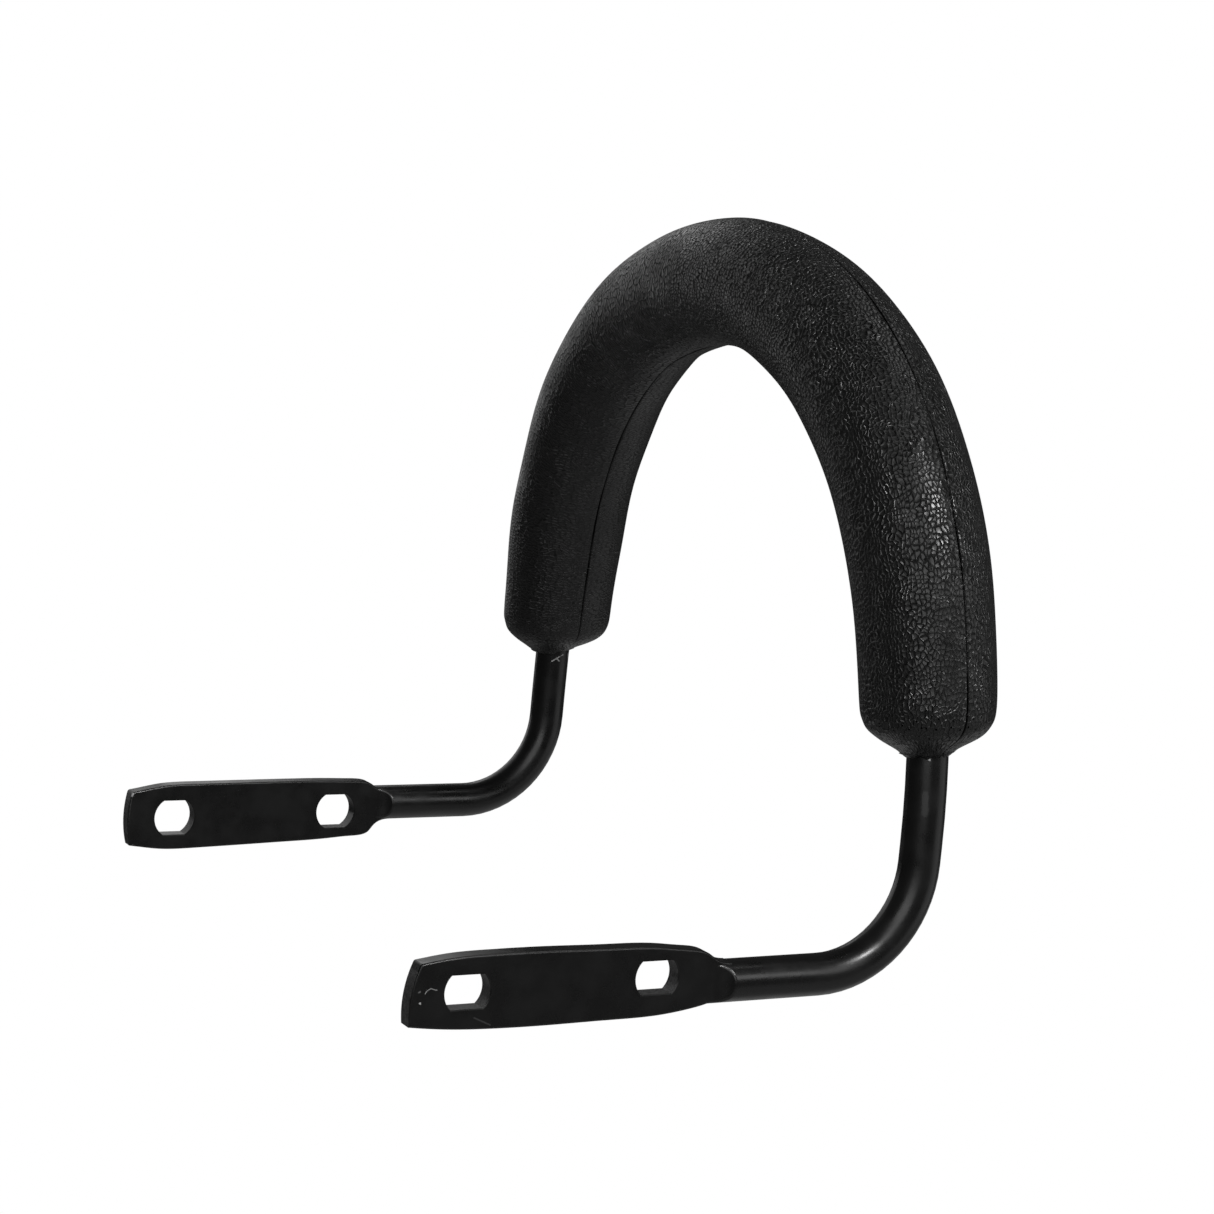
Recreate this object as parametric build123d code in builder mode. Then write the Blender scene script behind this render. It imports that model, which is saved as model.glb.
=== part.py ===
from build123d import *
import os
from math import cos, radians, sin, tan

# Padded U-shaped assist hoop on two slotted tangs.
# Millimetres and degrees. The origin is the centre of the four slots, midway between the tangs.
# +X points to the right arm, -Y to the free ends of the tangs, and +Z up the hoop.

# Bar: one length of round steel, bent into two arms, two legs and a hoop
bar_d = 12.3  # with its paint
arm_spacing = 248.0  # between the two arm axes
arm_length = 128.5  # from a free end to the bend
bend_r = 32.5  # centreline radius of the bend from arm to leg
leg_lean = 1.5  # each leg leans back from upright by this angle
leg_straight = 5.0  # straight bar above the bend
shoulder_r = 290.0  # centreline radius of the long arc that starts the hoop
shoulder_turn = 13.5  # angle of that arc
shoulder_roll = 17.0  # the arc curves inwards, rolled forwards by this angle

# Tangs: the bar's two ends, pressed flat. Distances are from the free end, heights from the arm's axis.
tang_t = 5.8
tang_l = 102.0  # free end to the round bar's full section
edge_distances = [1, 12, 24, 40, 60, 75, 83, 90, 98]
edge_half_widths = {  # of the tang, at those distances
    "right": [8.6, 9.9, 10.4, 10.5, 10.2, 9.8, 8.9, 7.6, 5.2],
    "left": [9.5, 11.2, 11.5, 11.3, 11.0, 10.6, 10.2, 9.2, 5.2],
}
tang_heights = {"right": (2.1, 1.6), "left": (-3.0, -1.35)}  # of the middle, at the free end and at the neck
end_slant = {"right": 2.6, "left": 0.0}  # how far the sheared end is out of square
end_bulge = 1.2
end_corner_r = {"right": (0.8, 2.2), "left": (1.0, 1.2)}  # upper, lower
tang_edge_r = 0.6
slot_centres = {  # front and rear slot: distance, height
    "right": [(16.3, 2.3), (74.3, 2.9)],
    "left": [(16.8, -2.9), (77.2, -2.3)],
}
slot_length = {"right": 13.5, "left": 14.5}
slot_flats = {"right": 9.5, "left": 12.1}  # distance between a slot's two flats
slot_edge = 0.3
neck_start = 86.0  # the round bar begins inside the tang
ramp_start = 92.7  # from here the flats curve up to the round bar, and the middle returns to the arm's axis
ramp_end = 98.0
ramp_edge_r = 1.0  # where those curves run out on the round bar

# Grip: self-skinned foam moulded round the hoop
grip_d = 41.6
skin_t = 1.5
grip_start = {"right": 32.7, "left": 25.4}  # along the leg from the bend to the grip's lip
cone_angle = 61.3  # of the grip's end, from its axis
cone_blend_r = 14.2
lip_r = 7.0

bar_r = bar_d / 2
grip_r = grip_d / 2
half_span = arm_spacing / 2
all_slots = slot_centres["right"] + slot_centres["left"]
free_end_y = -sum(distance for distance, height in all_slots) / len(all_slots)
side_x = {"right": 1, "left": -1}
inwards = Vector(-1, 0, 0)
cone = radians(cone_angle)
cap_length = cone_blend_r * sin(cone) + (grip_r - cone_blend_r * (1 - cos(cone)) - lip_r) / tan(cone)


def arc_to(start, along, towards, radius, angle):
    """End point and end direction of an arc that leaves start along one way and turns towards another."""
    turn = radians(angle)
    end = start + along * (radius * sin(turn)) + towards * (radius * (1 - cos(turn)))
    return end, along * cos(turn) + towards * sin(turn)


def on_side(side, vector):
    """A point or direction of the right side, or the same one on the left."""
    return Vector(side_x[side] * vector.X, vector.Y, vector.Z)


# Right half of the bar's centreline, from the tang to the crown
arm_start = Vector(half_span, free_end_y + tang_l, 0)
bend_start = Vector(half_span, free_end_y + arm_length, 0)
leg_start, leg_dir = arc_to(bend_start, Vector(0, 1, 0), Vector(0, 0, 1), bend_r, 90 - leg_lean)
shoulder_start = leg_start + leg_dir * leg_straight
forwards = leg_dir.cross(inwards)
shoulder_towards = inwards * cos(radians(shoulder_roll)) + forwards * sin(radians(shoulder_roll))
crown_start, crown_dir = arc_to(shoulder_start, leg_dir, shoulder_towards, shoulder_r, shoulder_turn)
# The crown is one arc that crosses the centre plane square on, so its radius follows from its start
crown_turn = crown_dir.get_angle(inwards)
crown_towards = (inwards - crown_dir * inwards.dot(crown_dir)).normalized()
crown_end, _ = arc_to(Vector(0, 0, 0), crown_dir, crown_towards, 1.0, crown_turn)
crown_r = -crown_start.X / crown_end.X
crown_top, _ = arc_to(crown_start, crown_dir, crown_towards, crown_r, crown_turn)


def cap_base(side):
    """Point and direction on a leg's centreline where the grip's rounded end meets its full thickness."""
    angle = (grip_start[side] + cap_length - leg_straight) / radians(1) / shoulder_r
    point, along = arc_to(shoulder_start, leg_dir, shoulder_towards, shoulder_r, angle)
    return on_side(side, point), on_side(side, along)


def bar_path():
    """Centreline of the round bar, from tang to tang."""
    with BuildLine() as path:
        Line(arm_start, bend_start)
        TangentArc(bend_start, leg_start, tangent=(0, 1, 0))
        Line(leg_start, shoulder_start)
        TangentArc(shoulder_start, crown_start, tangent=leg_dir)
        mirror(about=Plane.YZ)
        ThreePointArc(crown_start, crown_top, on_side("left", crown_start))
    return path.wires()[0]


def make_hoop_bar():
    """The round bar between the two tangs."""
    with BuildPart() as bar:
        with BuildSketch(Plane(arm_start, z_dir=(0, 1, 0))):
            Circle(bar_r)
        sweep(path=bar_path())
    return bar.part


def tang_height(side, distance):
    """Height of the tang's middle line above the arm's axis."""
    at_end, at_neck = tang_heights[side]
    if distance <= ramp_start:
        return at_end + (at_neck - at_end) * distance / ramp_start
    return at_neck * (tang_l - distance) / (tang_l - ramp_start)


def tang_outline(side):
    """A tang's outline, with the free end near 0 and the bar along +x."""
    half_widths = list(zip(edge_distances, edge_half_widths[side]))
    upper = [Vector(x, tang_height(side, x) + half_width) for x, half_width in half_widths]
    lower = [Vector(x, tang_height(side, x) - half_width) for x, half_width in half_widths]
    upper[0] += Vector(end_slant[side] / 2, 0)
    lower[0] -= Vector(end_slant[side] / 2, 0)
    tip = (upper[0] + lower[0]) / 2 - Vector(end_bulge, 0)
    with BuildSketch() as outline:
        with BuildLine():
            Spline(*upper, tangents=[(1, 0.14), (1, -0.05)])
            Line(upper[-1], lower[-1])
            Spline(*lower, tangents=[(1, -0.14), (1, 0.05)])
            ThreePointArc(lower[0], tip, upper[0])
        make_face()
        lower_corner, upper_corner = outline.vertices().sort_by(Axis.X)[:2].sort_by(Axis.Y)
        upper_r, lower_r = end_corner_r[side]
        fillet(upper_corner, upper_r)
        fillet(lower_corner, lower_r)
    return outline.sketch


def slot_profile(side):
    """One double-D slot, centred on 0."""
    with BuildSketch() as slot:
        Circle(slot_length[side] / 2)
        Rectangle(slot_length[side], slot_flats[side], mode=Mode.INTERSECT)
    return slot.sketch


def make_neck():
    """The start of the round bar, pressed to the tang's thickness; free end at 0, bar along +Y."""
    with BuildPart() as neck:
        with BuildSketch(Plane((0, neck_start, 0), z_dir=(0, 1, 0))):
            Circle(bar_r)
        extrude(amount=tang_l - neck_start)
        with BuildSketch():
            with BuildLine():
                Line((tang_t / 2, neck_start), (tang_t / 2, ramp_start))
                TangentArc((tang_t / 2, ramp_start), (bar_r, ramp_end), tangent=(0, 1))
                Polyline((bar_r, ramp_end), (bar_r, tang_l), (0, tang_l), (0, neck_start))
                Line((0, neck_start), (tang_t / 2, neck_start))
            make_face()
            mirror(about=Plane.YZ)
        extrude(amount=bar_r, both=True, mode=Mode.INTERSECT)
        fillet(neck.edges().filter_by(GeomType.BSPLINE), ramp_edge_r)
    return neck.part


def make_tang(side):
    """One flattened end of the bar, with its two double-D slots and its neck."""
    origin = (side_x[side] * half_span, free_end_y, 0)
    middle = Plane(origin, x_dir=(0, 1, 0), z_dir=(1, 0, 0))
    with BuildPart() as plate:
        with BuildSketch(middle):
            add(tang_outline(side))
        extrude(amount=tang_t / 2, both=True)
        fillet(plate.edges().filter_by(Axis.X, reverse=True).sort_by(Axis.Y)[:-2], tang_edge_r)
    with BuildPart() as tang:
        with Locations(origin):
            add(make_neck())
        add(plate.part)
        with BuildSketch(middle):
            with Locations(*slot_centres[side]):
                add(slot_profile(side))
        extrude(amount=tang_t, both=True, mode=Mode.SUBTRACT)
        chamfer(tang.edges(Select.LAST).filter_by(Plane.YZ), slot_edge)
    return tang.part


def make_grip_body(inset, end_r):
    """The grip's outer form, inset from its surface, with its cones cut off at end_r; not yet bored."""
    body_r = grip_r - inset
    blend_r = cone_blend_r - inset
    blend_end = (body_r - blend_r * (1 - cos(cone)), -blend_r * sin(cone))
    cone_end = (end_r, blend_end[1] - (blend_end[0] - end_r) / tan(cone))
    bases = {side: cap_base(side) for side in side_x}
    with BuildPart() as body:
        with BuildLine() as path:
            for side, (base, along) in bases.items():
                TangentArc(base, on_side(side, crown_start), tangent=along)
            ThreePointArc(crown_start, crown_top, on_side("left", crown_start))
        with BuildSketch(Plane(bases["right"][0], z_dir=bases["right"][1])):
            Circle(body_r)
        sweep(path=path.wires()[0])
        for base, along in bases.values():
            radial = along.cross(Vector(0, 1, 0)).normalized()
            with BuildSketch(Plane(base, x_dir=radial, z_dir=radial.cross(along))):
                with BuildLine():
                    Line((0, 0), (body_r, 0))
                    TangentArc((body_r, 0), blend_end, tangent=(0, -1))
                    Line(blend_end, cone_end)
                    Line(cone_end, (0, cone_end[1]))
                    Line((0, cone_end[1]), (0, 0))
                make_face()
            revolve(axis=Axis(base, along))
    return body.part


hoop_bar = make_hoop_bar()
outer_form = make_grip_body(0, lip_r)
core_form = make_grip_body(skin_t, bar_r)

with BuildPart() as grip_core:
    add(core_form)
    add(hoop_bar, mode=Mode.SUBTRACT)

with BuildPart() as grip_skin:
    add(outer_form)
    add(core_form, mode=Mode.SUBTRACT)
    add(hoop_bar, mode=Mode.SUBTRACT)

pieces = {
    "hoop_bar": hoop_bar,
    "right_tang": make_tang("right"),
    "left_tang": make_tang("left"),
    "grip_core": grip_core.part,
    "grip_skin": grip_skin.part,
}
os.makedirs("parts", exist_ok=True)
for name, piece in pieces.items():
    piece.label = name
    export_step(piece, f"parts/{name}.step")
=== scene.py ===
from math import cos, pi, radians, sin

import bpy
import numpy as np
from mathutils import Matrix, Vector


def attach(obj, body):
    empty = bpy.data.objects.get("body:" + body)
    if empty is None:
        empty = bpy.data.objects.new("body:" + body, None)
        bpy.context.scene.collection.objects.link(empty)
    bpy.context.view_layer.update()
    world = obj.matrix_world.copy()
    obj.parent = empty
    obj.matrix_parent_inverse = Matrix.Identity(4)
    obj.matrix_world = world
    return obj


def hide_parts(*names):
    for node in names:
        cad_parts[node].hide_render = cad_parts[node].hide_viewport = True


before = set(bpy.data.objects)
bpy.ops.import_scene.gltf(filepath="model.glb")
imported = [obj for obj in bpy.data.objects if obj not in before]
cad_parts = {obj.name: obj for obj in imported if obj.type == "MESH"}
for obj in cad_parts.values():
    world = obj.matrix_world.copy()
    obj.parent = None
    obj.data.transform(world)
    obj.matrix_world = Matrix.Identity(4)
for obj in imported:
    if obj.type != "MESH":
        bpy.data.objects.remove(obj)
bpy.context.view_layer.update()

# Looks of a padded assist hoop: a black painted steel bar with two flattened tangs, and a moulded foam grip.
# Metres and radians, in the CAD frame: +X right arm, -Y free ends of the tangs, +Z up the hoop.

MM = 0.001
wave_count = 6  # sine waves in each irregular curve

# Bar, as the CAD model has it
arm_spacing = 248.0 * MM
bend_start_y = 82.35 * MM
bend_r = 32.5 * MM
bar_r = 6.15 * MM
leg_lean = radians(1.5)
leg_straight = 5.0 * MM
shoulder_r = 290.0 * MM
shoulder_turn = radians(13.5)
shoulder_roll = radians(17.0)

# Grip
grip_r = 20.8 * MM
grip_start = {"right": 32.7 * MM, "left": 25.4 * MM}  # along the leg from the bend to the grip's lip
lip_r = 8.0 * MM
cone_length = 4.8 * MM  # the rounded end widens from the lip over a few times this length
cone_sharpness = 1.5
end_r = 19.9 * MM  # where the rounded end runs out
swell_start = 5.5 * MM  # depths from the lip between which the grip swells to its full radius
swell_end = 55.0 * MM
lip_lean = {  # amount, angle round the bar
    "right": (0.6 * MM, radians(298)),
    "left": (1.3 * MM, radians(242)),
}
lean_reach = 12.0 * MM  # a lip's lean fades out over this depth
skirt_length = 1.7 * MM  # of the ragged foam that creeps down the bar at each lip
skirt_least = 0.3 * MM
skirt_share = 0.62  # of its length that the skirt reaches on average
skirt_waves = ((0.22, 2.2), (0.2, 0.6))  # how far that share varies, and over what angle
crumb_height = 0.35 * MM
crumb_angle = 0.35
crumb_twist = 260.0  # radians per metre of depth
settle_depth = 12.0 * MM  # the moulded relief fades in over this depth from the lips
lump_height = 0.16 * MM
end_lump_height = 0.35 * MM
end_lump_depth = 4.0 * MM  # where the lips' own lumps are strongest
end_lump_reach = 6.0 * MM
fat_places = (  # distance from the right lip, width, growth of the radius
    (121 * MM, 44 * MM, 0.78 * MM),
    (197 * MM, 20 * MM, -0.22 * MM),
    (306 * MM, 40 * MM, 0.6 * MM),
)
sideways_places = (  # distance from the right lip, width, shift into the hoop
    (28 * MM, 22 * MM, 0.22 * MM),
    (106 * MM, 34 * MM, -0.5 * MM),
    (166 * MM, 20 * MM, 0.25 * MM),
    (226 * MM, 20 * MM, 0.4 * MM),
    (258 * MM, 14 * MM, -0.4 * MM),
    (322 * MM, 36 * MM, 0.4 * MM),
)
rings = 430
end_rings = 76
end_length = 26.0 * MM
end_share = 0.9  # of that length, where the even rings take over
end_crowding = 1.4
ring_points = 224
parting_crowding = 0.7  # how much closer together the ring's points stand at the parting lines

# Parting lines, where the two mould halves met: a step and a groove
parting_lines = ((0.0, 11), (pi, 23), (2 * pi, 11))  # angle round the grip, seed; the last is the first
step_height = (0.10 * MM, 0.16 * MM, 90 * MM)  # mean, how far it varies, and over what length
step_width = 0.16 * MM
step_reach = 5.0 * MM  # the raised side falls back to the form over this length
groove_depth = (0.50 * MM, 0.12 * MM, 35 * MM)  # mean, how far it varies, and over what length
groove_width = 0.42 * MM

# Foam skin, in millimetres unless MM is given. A stretch goes round and along the grip
round_cell, round_stretch = 1.35, (0.9, 1.1)
long_cell, long_stretch = 1.5, (1.5, 0.7)
grain_change = (285.0, 291.0)  # distance from the right lip, once wandered, between which pebbles grow long
grain_wander = 160.0
grain_warp = 5.0
grain_depth = 0.21 * MM
grain_relief = (  # from and to these distances from the right lip, the grain's height changes by this factor
    (70.0, 150.0, 1.0, 2.2),
    (230.0, 300.0, 1.0, 0.3),
)
pebble_randomness = 0.85
dome_height = 0.7
wall_height = 0.8
wall_steepness = 4.5
unevenness = 0.6
dark_drop = 2.0  # of grooves and bubbles below the grain, in the height of a pebble
groove_fade = (0.2, 0.6)  # from a parting line
groove_faintest = 0.7
pinhole_frequency = 0.3
pinhole_fade = (0.06, 0.12)  # in cells
pinhole_zone = (9.0, 14.0)  # they end over these distances from the right lip
# The creases' darker grey is painted shade; the pebbles' grey is the skin's own
crease_shade_grey, pebble_grey = 0.0005, 0.007
pebble_tint = (0.97, 1.0, 0.97)
crease_roughness, pebble_roughness = 0.45, 0.28
skin_roughness_drift = 0.12

# Paint, in millimetres unless MM is given
peel_depth = 0.03 * MM
paint_grey, dust_grey, thin_paint_grey, steel_grey = 0.006, 0.05, 0.10, 0.55
dust_share = 0.2
paint_roughness = (0.25, 0.36)
worn_roughness = 0.25  # more than the paint's
worn_drop = 1.5
# A face is sheared if its normal's part across the tang, its height from the arm's axis and its place along
# the arm are all below these. The height leaves out the tang's long edges.
sheared_normal = (0.3, 0.5)
sheared_height = (8.4, 8.8)
sheared_end = (35.0, 36.0)

# Marks in the paint, in millimetres: start, end, width, strength
paint_marks = (
    ((128.1, 112.2, 64.6), (128.2, 112.3, 63.2), 1.0, 1.0),  # chip on the right leg
    ((128.6, 111.6, 53.0), (128.9, 111.9, 47.5), 2.4, 0.04),
    ((-118.0, 112.6, 52.9), (-117.5, 114.3, 54.1), 0.6, 0.8),  # hooked scratch on the left leg
    ((-117.5, 114.3, 54.1), (-117.5, 116.7, 55.5), 0.6, 0.8),
    ((-117.5, 114.3, 54.1), (-117.4, 115.2, 53.0), 0.5, 0.6),
    ((-123.6, 109.2, 57.8), (-123.1, 109.3, 57.6), 1.0, 0.5),
    ((-119.0, 119.5, 55.4), (-119.5, 119.9, 53.8), 0.8, 0.8),
    ((126.9, -42.4, 2.6), (126.9, -41.9, 3.4), 0.3, 0.5),  # curved scratch on the right tang
    ((126.9, -41.9, 3.4), (126.9, -40.8, 4.0), 0.3, 0.5),
    ((126.9, -40.8, 4.0), (126.9, -39.0, 3.4), 0.3, 0.4),
    ((126.9, -43.7, 0.1), (126.9, -43.6, 0.0), 0.7, 0.8),
    ((126.9, -43.9, 3.3), (126.9, -44.2, 3.1), 0.6, 0.2),
    ((126.9, -27.5, -4.9), (126.9, -22.6, -7.2), 0.5, 0.06),
    ((-121.1, -45.4, 5.4), (-121.1, -45.0, 6.0), 1.2, 0.8),  # knocked corner of the left tang
)


def unit(vector):
    return vector / np.linalg.norm(vector)


def arc_to(start, along, towards, radius, angle):
    """End point and end direction of an arc that leaves start along one way and turns towards another."""
    end = start + along * (radius * sin(angle)) + towards * (radius * (1 - cos(angle)))
    return end, along * cos(angle) + towards * sin(angle)


# Right half of the bar's centreline, from the bend to the crown
inwards = np.array((-1.0, 0.0, 0.0))
bend_start = np.array((arm_spacing / 2, bend_start_y, 0.0))
leg_start, leg_dir = arc_to(
    bend_start, np.array((0.0, 1.0, 0.0)), np.array((0.0, 0.0, 1.0)), bend_r, pi / 2 - leg_lean
)
shoulder_start = leg_start + leg_dir * leg_straight
forwards = np.cross(leg_dir, inwards)
shoulder_towards = inwards * cos(shoulder_roll) + forwards * sin(shoulder_roll)
shoulder_length = shoulder_r * shoulder_turn
crown_start, crown_dir = arc_to(shoulder_start, leg_dir, shoulder_towards, shoulder_r, shoulder_turn)
crown_turn = np.arccos(crown_dir @ inwards)
crown_towards = unit(inwards - crown_dir * (inwards @ crown_dir))
unit_crown_end, _ = arc_to(np.zeros(3), crown_dir, crown_towards, 1.0, crown_turn)
crown_r = -crown_start[0] / unit_crown_end[0]  # the crown crosses the centre plane square on
half_length = leg_straight + shoulder_length + crown_r * crown_turn  # from the bend to the crown's top


def right_station(distance):
    """Point and direction on the right half of the centreline, by the distance from the end of the bend."""
    if distance < leg_straight:
        return leg_start + leg_dir * distance, leg_dir
    if distance < leg_straight + shoulder_length:
        angle = (distance - leg_straight) / shoulder_r
        return arc_to(shoulder_start, leg_dir, shoulder_towards, shoulder_r, angle)
    angle = (distance - leg_straight - shoulder_length) / crown_r
    return arc_to(crown_start, crown_dir, crown_towards, crown_r, angle)


def station(distance):
    """Point and direction on the whole centreline, by the distance from the right bend."""
    if distance <= half_length:
        return right_station(distance)
    point, along = right_station(2 * half_length - distance)
    return point * (-1, 1, 1), along * (1, -1, -1)


def smooth_step(low, high, value):
    t = np.clip((value - low) / (high - low), 0, 1)
    return t * t * (3 - 2 * t)


def bell(value, centre, width):
    return np.exp(-(((value - centre) / width) ** 2))


def waves(seed, value, length):
    """A smooth irregular curve between about -1 and 1, with features of about that length."""
    random = np.random.default_rng(seed)
    total = np.zeros_like(value)
    for _ in range(wave_count):
        total += np.sin(value * (2 * pi / length) * random.uniform(0.4, 1.6) + random.uniform(0, 2 * pi))
    return total / wave_count ** 0.5 / 1.3


def varying(seed, value, mean, amount, length):
    return mean + amount * waves(seed, value, length)


# ---------------------------------------------------------------- grip mesh


def ring_angles():
    """Angles round the grip: 0 faces out of the hoop, pi/2 to the front, pi into the hoop."""
    turn = np.linspace(0, 2 * pi, ring_points + 1)
    return turn - parting_crowding / 2 * np.sin(2 * turn)


def ring_distances(length):
    """Distances along the grip from the right lip, closer together at the two ends."""
    fine = end_length * np.linspace(0, 1, end_rings, endpoint=False) ** end_crowding - skirt_length
    fine = fine[fine < end_length * end_share]
    middle = np.linspace(fine[-1], length - fine[-1], rings - 2 * len(fine) + 2)[1:-1]
    return np.concatenate([fine, middle, length - fine[::-1]])


def form_radius(depth, distance):
    """Radius of the bare form, by the depth from the nearer lip and the distance from the right lip."""
    rise = 1 - np.exp(-((depth / cone_length) ** cone_sharpness))
    swell = (grip_r - end_r) * smooth_step(swell_start, swell_end, depth)
    fat = sum(amount * bell(distance, centre, width) for centre, width, amount in fat_places)
    return lip_r + (end_r - lip_r) * rise + swell + fat


def skirt_radius(depth, angle, seed):
    """Radius of the ragged skirt below a lip; where it is less than the bar's, it isn't seen.

    Known fault: under the left lip, which leans most, some radii are negative, and those points come out
    on the bar's far side.
    """
    share = skirt_share
    for wave, (amount, length) in enumerate(skirt_waves):
        share = share + amount * waves(seed + wave, angle, length)
    reach = np.maximum(skirt_length * share, skirt_least)
    crumbs = crumb_height * waves(seed + len(skirt_waves), angle + crumb_twist * depth, crumb_angle)
    return bar_r + (lip_r - bar_r + crumbs) * (1 + depth / reach)


def depth_from_lip(side, angle, distance):
    """Distance above a lip that leans to one side; the lean fades out up the grip."""
    lean, towards = lip_lean[side]
    return distance - lean * np.cos(angle - towards) * np.exp(-np.abs(distance) / lean_reach)


def parting_relief(angle, distance):
    """Step and groove of the parting lines, along the outer and the inner side of the hoop."""
    relief = np.zeros_like(angle)
    for line, seed in parting_lines:
        offset = (angle - line) * grip_r
        if line == pi:
            offset = -offset
        step = varying(seed, distance, *step_height)
        side = np.tanh(offset / step_width) * np.exp(-np.abs(offset) / step_reach)
        groove = varying(seed + 1, distance, *groove_depth)
        relief += step * side - groove * bell(offset, 0, groove_width)
    return relief


def lumps(angle, distance):
    """Slow unevenness of the moulded foam."""
    to_side = waves(3, distance, 90 * MM) * np.cos(angle - 0.7)
    flattened = waves(4, distance, 70 * MM) * np.sin(2 * angle)
    return lump_height * (to_side + flattened)


def end_lumps(angle, distance):
    """Coarser unevenness of the hand-trimmed ends."""
    return end_lump_height * waves(7, distance * 2.2 + angle * 9 * MM, 16 * MM) * np.cos(2 * angle + 1.1)


def grip_points():
    """The grip's points as (ring, point, xyz), with the seam's points doubled, and their map coordinates."""
    length = 2 * half_length - grip_start["right"] - grip_start["left"]
    angles = ring_angles()
    distances = ring_distances(length)
    angle, distance = np.meshgrid(angles, distances)
    depths = {
        "right": depth_from_lip("right", angle, distance),
        "left": depth_from_lip("left", angle, length - distance),
    }
    depth = np.minimum(depths["right"], depths["left"])
    radius = form_radius(np.maximum(depth, 0), distance)
    settled = smooth_step(0, settle_depth, depth)
    radius += settled * (lumps(angle, distance) + parting_relief(angle, distance))
    near_lip = smooth_step(0, end_lump_reach, depth) * bell(depth, end_lump_depth, end_lump_reach)
    radius += near_lip * end_lumps(angle, distance)
    for side, seed in (("right", 31), ("left", 47)):
        below = depths[side] < 0
        radius[below] = skirt_radius(depths[side], angle, seed)[below]
    shifts = sum(amount * bell(distances, centre, width) for centre, width, amount in sideways_places)
    points = np.empty(angle.shape + (3,))
    front = np.array((0.0, -1.0, 0.0))
    for ring, along_grip in enumerate(distances):
        centre, along = station(along_grip + grip_start["right"])
        facing = unit(front - along * (front @ along))
        outwards = np.cross(along, facing)
        round_grip = np.outer(np.cos(angles), outwards) + np.outer(np.sin(angles), facing)
        points[ring] = centre - outwards * shifts[ring] + round_grip * radius[ring][:, None]
    return points, np.stack([angle * grip_r, distance], axis=-1)


def make_grip():
    """The foam grip, as one mesh swept along the hoop."""
    points, coordinates = grip_points()
    count, across = points.shape[0], ring_points
    vertices = points[:, :across].reshape(-1, 3)
    faces = []
    for ring in range(count - 1):
        start, above = ring * across, (ring + 1) * across
        for i in range(across):
            j = (i + 1) % across
            faces.append((start + i, start + j, above + j, above + i))
    mesh = bpy.data.meshes.new("grip")
    mesh.from_pydata(vertices.tolist(), [], faces)
    layer = mesh.uv_layers.new(name="grain")
    corners = np.empty((count - 1, across, 4, 2))
    corners[:, :, 0] = coordinates[:-1, :-1]
    corners[:, :, 1] = coordinates[:-1, 1:]
    corners[:, :, 2] = coordinates[1:, 1:]
    corners[:, :, 3] = coordinates[1:, :-1]
    layer.data.foreach_set("uv", corners.ravel())
    mesh.polygons.foreach_set("use_smooth", [True] * len(faces))
    mesh.update()
    grip = bpy.data.objects.new("grip", mesh)
    bpy.context.scene.collection.objects.link(grip)
    return grip


# ---------------------------------------------------------------- materials


def add_node(tree, kind, inputs=None, **settings):
    """A shader node with its settings, and its inputs set to values or linked to sockets."""
    node = tree.nodes.new("ShaderNode" + kind)
    for name, value in settings.items():
        setattr(node, name, value)
    for name, value in (inputs or {}).items():
        if isinstance(value, bpy.types.NodeSocket):
            tree.links.new(value, node.inputs[name])
        else:
            node.inputs[name].default_value = value
    return node


def maths(tree, operation, *values):
    return add_node(tree, "Math", dict(enumerate(values)), operation=operation).outputs[0]


def vector_maths(tree, operation, *values):
    """A vector, or a number where that is what the operation gives."""
    node = add_node(tree, "VectorMath", dict(enumerate(values)), operation=operation)
    return node.outputs["Value" if operation in ("DOT_PRODUCT", "DISTANCE") else "Vector"]


def scaled(tree, vector, factor):
    return add_node(tree, "VectorMath", {0: vector, "Scale": factor}, operation="SCALE").outputs[0]


def place_in_mm(tree):
    """Place on the object, in millimetres."""
    return scaled(tree, add_node(tree, "TexCoord").outputs["Object"], 1 / MM)


def remap(tree, value, low, high, to_low=0.0, to_high=1.0):
    """value taken smoothly from low..high to to_low..to_high."""
    inputs = {"Value": value, "From Min": low, "From Max": high, "To Min": to_low, "To Max": to_high}
    return add_node(tree, "MapRange", inputs, interpolation_type="SMOOTHSTEP").outputs[0]


def mix(tree, factor, first, second):
    return add_node(tree, "Mix", {0: factor, 2: first, 3: second}).outputs[0]


def mix_colours(tree, factor, first, second):
    return add_node(tree, "Mix", {0: factor, 6: first, 7: second}, data_type="RGBA").outputs[2]


def grey(level, tint=(1.0, 1.0, 1.0)):
    return (level * tint[0], level * tint[1], level * tint[2], 1.0)


def noise(tree, vector, scale, detail, roughness=0.5, output="Fac"):
    inputs = {"Vector": vector, "Scale": scale, "Detail": detail, "Roughness": roughness}
    return add_node(tree, "TexNoise", inputs).outputs[output]


def cells(tree, vector, randomness, feature="F1"):
    """Distance to the nearest middle of cells one unit wide, or to their edge with DISTANCE_TO_EDGE."""
    inputs = {"Vector": vector, "Scale": 1.0, "Randomness": randomness}
    node = add_node(tree, "TexVoronoi", inputs, voronoi_dimensions="2D", feature=feature)
    return node.outputs["Distance"]


def new_tree(name):
    material = bpy.data.materials.new(name)
    material.use_nodes = True
    material.node_tree.nodes.clear()
    return material, material.node_tree


def finish_material(tree, colour, roughness, height, bump_strength, bump_distance, metallic=0.0):
    bump = add_node(tree, "Bump", {"Strength": bump_strength, "Distance": bump_distance, "Height": height})
    inputs = {"Base Color": colour, "Metallic": metallic, "Roughness": roughness, "Normal": bump.outputs[0]}
    shader = add_node(tree, "BsdfPrincipled", inputs)
    add_node(tree, "OutputMaterial", {"Surface": shader.outputs[0]})


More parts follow.
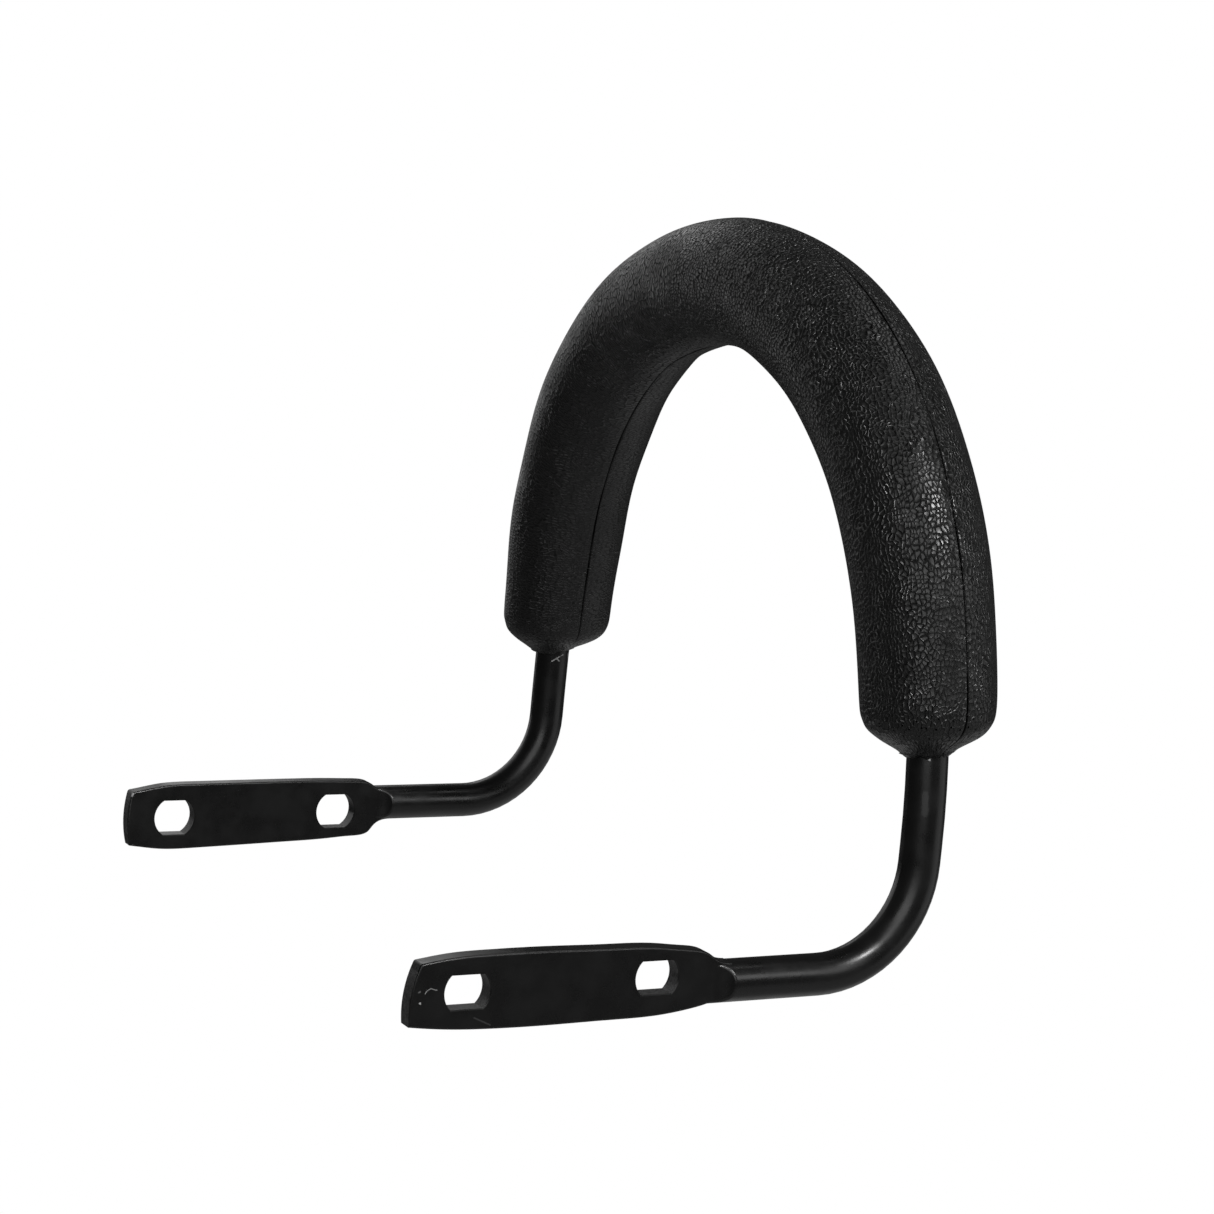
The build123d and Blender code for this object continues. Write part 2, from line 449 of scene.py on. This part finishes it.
def pebbles(tree, flat, cell, stretch):
    """Height of domed pebbles stretched along the map's axes, and 0 in their creases to 1 on them."""
    in_cells = vector_maths(tree, "MULTIPLY", flat, (1 / cell / stretch[0], 1 / cell / stretch[1], 0.0))
    from_middle = cells(tree, in_cells, pebble_randomness)
    from_crease = cells(tree, in_cells, pebble_randomness, "DISTANCE_TO_EDGE")
    dome = maths(tree, "MULTIPLY", maths(tree, "POWER", from_middle, 2.0), -dome_height)
    wall = maths(tree, "MINIMUM", maths(tree, "MULTIPLY", from_crease, wall_steepness), 1.0)
    return maths(tree, "MULTIPLY_ADD", wall, wall_height, dome), wall


def parting_mask(tree, around, place):
    """Mask of the grooves of both parting lines, a little fainter in places."""
    from_parting = maths(tree, "PINGPONG", around, pi / 2 * grip_r / MM)
    strength = remap(tree, noise(tree, place, 0.05, 1.0), 0.35, 0.5, groove_faintest, 1.0)
    return maths(tree, "MULTIPLY", remap(tree, from_parting, *groove_fade, 1.0, 0.0), strength)


def pinhole_mask(tree, flat, along):
    """Mask of the small burst bubbles near the right lip."""
    from_bubble = cells(tree, scaled(tree, flat, pinhole_frequency), 1.0)
    near_lip = remap(tree, along, *pinhole_zone, 1.0, 0.0)
    return maths(tree, "MULTIPLY", remap(tree, from_bubble, *pinhole_fade, 1.0, 0.0), near_lip)


def grain(tree, flat, along, place):
    """Height and creases of the pebbled grain: round pebbles on the right, and longer ones on the left."""
    warp = vector_maths(tree, "SUBTRACT", noise(tree, place, 0.12, 2.0, output="Color"), (0.5, 0.5, 0.5))
    warped = vector_maths(tree, "MULTIPLY_ADD", warp, (grain_warp, grain_warp, 0.0), flat)
    round_height, round_valley = pebbles(tree, warped, round_cell, round_stretch)
    long_height, long_valley = pebbles(tree, warped, long_cell, long_stretch)
    zone = maths(tree, "MULTIPLY_ADD", noise(tree, place, 0.03, 2.0), grain_wander, along)
    is_long = remap(tree, zone, *grain_change)
    height = mix(tree, is_long, round_height, long_height)
    return height, mix(tree, is_long, round_valley, long_valley)


def foam_skin_material():
    """Black self-skinned foam with a pebbled leather grain, and painted shade in its creases, grooves and
    bubbles. The grip's flat map gives around and along.
    """
    material, tree = new_tree("foam_skin_grain")
    flat = scaled(tree, add_node(tree, "UVMap", uv_map="grain").outputs[0], 1 / MM)
    place = place_in_mm(tree)
    around, along, _ = add_node(tree, "SeparateXYZ", {0: flat}).outputs
    height, valley = grain(tree, flat, along, place)
    height = maths(tree, "MULTIPLY_ADD", noise(tree, place, 0.3, 2.0), unevenness, height)
    # Mask of the grooves and bubbles: it lowers the bump, and below it also carries painted shade
    hollows_and_shade = maths(tree, "MAXIMUM", parting_mask(tree, around, place), pinhole_mask(tree, flat, along))
    height = maths(tree, "MULTIPLY_ADD", hollows_and_shade, -dark_drop, height)
    # The grain stands out most in the crown and least on the left leg
    for relief in grain_relief:
        height = maths(tree, "MULTIPLY", height, remap(tree, along, *relief))
    valley = maths(tree, "MULTIPLY", valley, maths(tree, "SUBTRACT", 1.0, hollows_and_shade))
    # Painted shade: the creases, and the grooves and bubbles, take the darker grey
    colour = mix_colours(tree, valley, grey(crease_shade_grey), grey(pebble_grey, pebble_tint))
    slow = remap(tree, noise(tree, place, 0.09, 3.0), 0.3, 0.7, 0.0, skin_roughness_drift)
    roughness = maths(tree, "ADD", slow, remap(tree, valley, 0.0, 1.0, crease_roughness, pebble_roughness))
    # Painted shade: the grooves and bubbles are black metal, which reflects nothing, to stand in for the
    # shade at their bottoms
    finish_material(tree, colour, roughness, height, 1.0, grain_depth, metallic=hollows_and_shade)
    return material


def stroke(tree, place, start, end, width):
    """Mask of a straight ragged mark between two points."""
    start, end = Vector(start), Vector(end)
    span = end - start
    from_start = vector_maths(tree, "SUBTRACT", place, start)
    share = vector_maths(tree, "DOT_PRODUCT", from_start, span / span.length_squared)
    share = maths(tree, "MINIMUM", maths(tree, "MAXIMUM", share, 0.0), 1.0)
    distance = vector_maths(tree, "DISTANCE", from_start, scaled(tree, span, share))
    ragged = maths(tree, "MULTIPLY_ADD", noise(tree, place, 2.5, 2.0), width * 0.6, distance)
    return remap(tree, ragged, width * 0.6, width * 0.8, 1.0, 0.0)


def sheared_mask(tree, place):
    """Mask of the sheared end faces and the slots' punched walls, where the paint is thin."""
    normal = add_node(tree, "TexCoord").outputs["Normal"]
    facing = maths(tree, "ABSOLUTE", add_node(tree, "SeparateXYZ", {0: normal}).outputs[0])
    _, y, z = add_node(tree, "SeparateXYZ", {0: place}).outputs
    upright = remap(tree, facing, *sheared_normal, 1.0, 0.0)
    inner = remap(tree, maths(tree, "ABSOLUTE", z), *sheared_height, 1.0, 0.0)
    on_tang = remap(tree, y, *sheared_end, 1.0, 0.0)
    return maths(tree, "MULTIPLY", maths(tree, "MULTIPLY", upright, inner), on_tang)


def paint_material():
    """Satin black paint over steel, thin on the sheared faces, with chips and scratches."""
    material, tree = new_tree("black_paint")
    place = place_in_mm(tree)
    peel = noise(tree, place, 0.9, 2.0)
    slow = noise(tree, place, 0.12, 3.0)
    speckle = noise(tree, place, 1.6, 4.0, 0.7)
    marked = 0.0
    for start, end, width, strength in paint_marks:
        mark = maths(tree, "MULTIPLY", stroke(tree, place, start, end, width), strength)
        marked = maths(tree, "MAXIMUM", mark, marked)
    dust = maths(tree, "MULTIPLY", remap(tree, speckle, 0.62, 0.8), dust_share)
    thin = maths(tree, "MULTIPLY", sheared_mask(tree, place), remap(tree, speckle, 0.4, 0.62, 0.1, 1.0))
    colour = mix_colours(tree, dust, grey(paint_grey), grey(dust_grey))
    colour = mix_colours(tree, thin, colour, grey(thin_paint_grey))
    colour = mix_colours(tree, marked, colour, grey(steel_grey))
    worn = maths(tree, "MAXIMUM", thin, marked)
    unworn = remap(tree, slow, 0.3, 0.7, *paint_roughness)
    roughness = maths(tree, "MULTIPLY_ADD", worn, worn_roughness, unworn)
    height = maths(tree, "MULTIPLY_ADD", slow, 0.8, maths(tree, "MULTIPLY_ADD", worn, -worn_drop, peel))
    finish_material(tree, colour, roughness, height, 0.5, peel_depth)
    return material


# ---------------------------------------------------------------- surroundings

floor_size = 16.0
floor_height = -0.45
floor_grey = 0.45
world_light = 0.05

camera_azimuth, camera_elevation = 61.99, 6.88  # degrees
camera_roll = radians(4.16)
camera_target = Vector((0.0, 71.28 * MM, 89.54 * MM))
camera_distance = 0.85775
camera_lens = 78.53  # millimetres, as is the sensor
sensor_width = 36.0
clip_start = 0.05

hoop_middle = Vector((0.0, 0.10, 0.11))
softboxes = (  # name, azimuth and elevation in degrees, distance and width in metres, power in watts
    ("key", 96, 35, 1.2, 0.12, 6.5),
    ("front", 58, 18, 1.3, 0.9, 4.6),
    ("streak", 119, 16, 1.2, 0.35, 1.0),
    ("left", 277, 14, 1.2, 1.0, 2.0),
    ("top", 175, 68, 1.2, 0.6, 1.8),
    ("right", 150, -6, 1.2, 0.9, 1.2),
    ("rim", 256, 24, 1.2, 0.35, 0.35),
    ("low", 215, -52, 0.42, 0.45, 0.15),
)


def make_floor():
    """A plain pale floor, well below the hoop, which its mount holds up."""
    half = floor_size / 2
    mesh = bpy.data.meshes.new("floor")
    corners = [(-half, -half, 0), (half, -half, 0), (half, half, 0), (-half, half, 0)]
    mesh.from_pydata(corners, [], [(0, 1, 2, 3)])
    floor = bpy.data.objects.new("floor", mesh)
    floor.location.z = floor_height
    bpy.context.scene.collection.objects.link(floor)
    material, tree = new_tree("pale_floor")
    matt = add_node(tree, "BsdfDiffuse", {"Color": grey(floor_grey)})
    glow = add_node(tree, "Emission", {"Color": grey(1.0), "Strength": 1.0})
    seen = add_node(tree, "LightPath").outputs["Is Camera Ray"]
    mixed = add_node(tree, "MixShader", {0: seen, 1: matt.outputs[0], 2: glow.outputs[0]})
    add_node(tree, "OutputMaterial", {"Surface": mixed.outputs[0]})
    mesh.materials.append(material)


def make_world():
    """White to the eye, and a dimmer even light on the object."""
    world = bpy.data.worlds.new("studio")
    bpy.context.scene.world = world
    world.use_nodes = True
    tree = world.node_tree
    tree.nodes.clear()
    seen = add_node(tree, "LightPath").outputs["Is Camera Ray"]
    strength = add_node(tree, "MapRange", {"Value": seen, "To Min": world_light, "To Max": 1.0}).outputs[0]
    background = add_node(tree, "Background", {"Color": grey(1.0), "Strength": strength})
    add_node(tree, "OutputWorld", {"Surface": background.outputs[0]})


def direction(azimuth, elevation):
    """Unit vector towards a compass azimuth, 0 at -Y and 90 at +X, and an elevation, both in degrees."""
    a, e = radians(azimuth), radians(elevation)
    return Vector((sin(a) * cos(e), -cos(a) * cos(e), sin(e)))


def add_softbox(name, azimuth, elevation, distance, size, power):
    """A square area light that faces the middle of the hoop."""
    light = bpy.data.lights.new(name, "AREA")
    light.size = size
    light.energy = power
    softbox = bpy.data.objects.new(name, light)
    away = direction(azimuth, elevation)
    softbox.location = hoop_middle + away * distance
    softbox.rotation_euler = away.to_track_quat("Z", "Y").to_euler()
    bpy.context.scene.collection.objects.link(softbox)


def make_camera():
    """Looks at the hoop from its right and slightly above, with the slight roll of a hand-held shot."""
    back = direction(camera_azimuth, camera_elevation)
    right = Vector((cos(radians(camera_azimuth)), sin(radians(camera_azimuth)), 0.0))
    up = back.cross(right)
    rolled_right = right * cos(camera_roll) + up * sin(camera_roll)
    rolled_up = up * cos(camera_roll) - right * sin(camera_roll)
    data = bpy.data.cameras.new("camera")
    data.lens = camera_lens
    data.sensor_width = sensor_width
    data.clip_start = clip_start
    camera = bpy.data.objects.new("camera", data)
    axes = Matrix((rolled_right, rolled_up, back)).transposed().to_4x4()
    camera.matrix_world = Matrix.Translation(camera_target + back * camera_distance) @ axes
    bpy.context.scene.collection.objects.link(camera)
    bpy.context.scene.camera = camera


make_camera()
make_world()
make_floor()
for softbox in softboxes:
    add_softbox(*softbox)

grip = make_grip()
grip.data.materials.append(foam_skin_material())
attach(grip, "root")
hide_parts("grip_skin", "grip_core")

paint = paint_material()
for name in ("hoop_bar", "right_tang", "left_tang"):
    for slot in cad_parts[name].material_slots:
        slot.material = paint

bpy.context.scene.view_settings.view_transform = "Standard"
